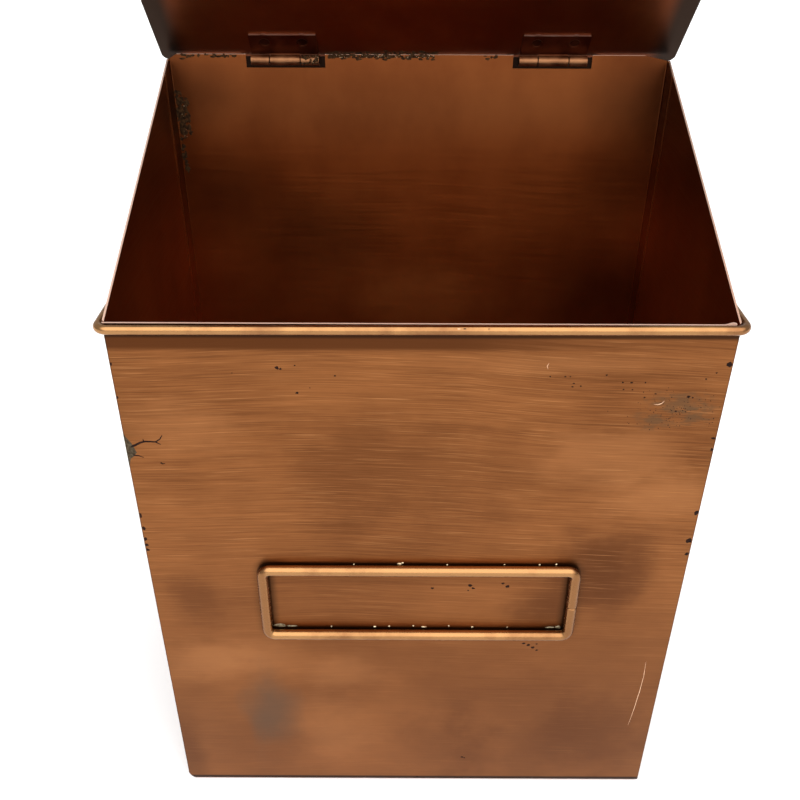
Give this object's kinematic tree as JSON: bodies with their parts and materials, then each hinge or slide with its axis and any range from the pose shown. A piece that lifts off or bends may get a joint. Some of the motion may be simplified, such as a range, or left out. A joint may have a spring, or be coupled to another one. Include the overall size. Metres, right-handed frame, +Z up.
{
  "type": "wall mounted mailbox",
  "caption": "Wall mailbox of copper sheet: an open-topped box with a sloping top, a hinged lid, a rod round the rim and a bent-rod label frame on the front.",
  "frame": {"origin": "on the wall, at the centre of the wall screws", "axes": "+X to the right as seen from the front, +Y towards the wall, +Z up; stored with the lid open"},
  "size_m": [0.2624, 0.1677, 0.4926],
  "materials": {
    "box_sheet": "aged copper sheet, brown patina over fine brushing",
    "lid_sheet": "aged copper sheet, brown patina",
    "rod": "copper rod, rubbed brighter than the sheet",
    "hinge": "dull bronze with a little verdigris",
    "rivet": "dark copper"
  },
  "bodies": {
    "box": {"front_panel": "box_sheet", "left_side_panel": "box_sheet", "right_side_panel": "box_sheet", "back_panel": "box_sheet", "bottom_panel": "box_sheet", "rim_bead": "rod", "label_frame": "rod", "left_hinge_body_leaf": "hinge", "right_hinge_body_leaf": "hinge", "left_hinge_pin": "hinge", "right_hinge_pin": "hinge"},
    "lid": {"lid_panel": "lid_sheet", "left_hinge_lid_leaf": "hinge", "right_hinge_lid_leaf": "hinge", "left_hinge_left_rivet": "rivet", "left_hinge_right_rivet": "rivet", "right_hinge_left_rivet": "rivet", "right_hinge_right_rivet": "rivet"}
  },
  "joints": [
    {"name": "lid_hinge", "type": "hinge", "parent": "box", "child": "lid", "pos_m": [0, -0.0067, 0.24305], "axis": [-1, 0, 0], "range_deg": [-72.7, 41.3]}
  ]
}
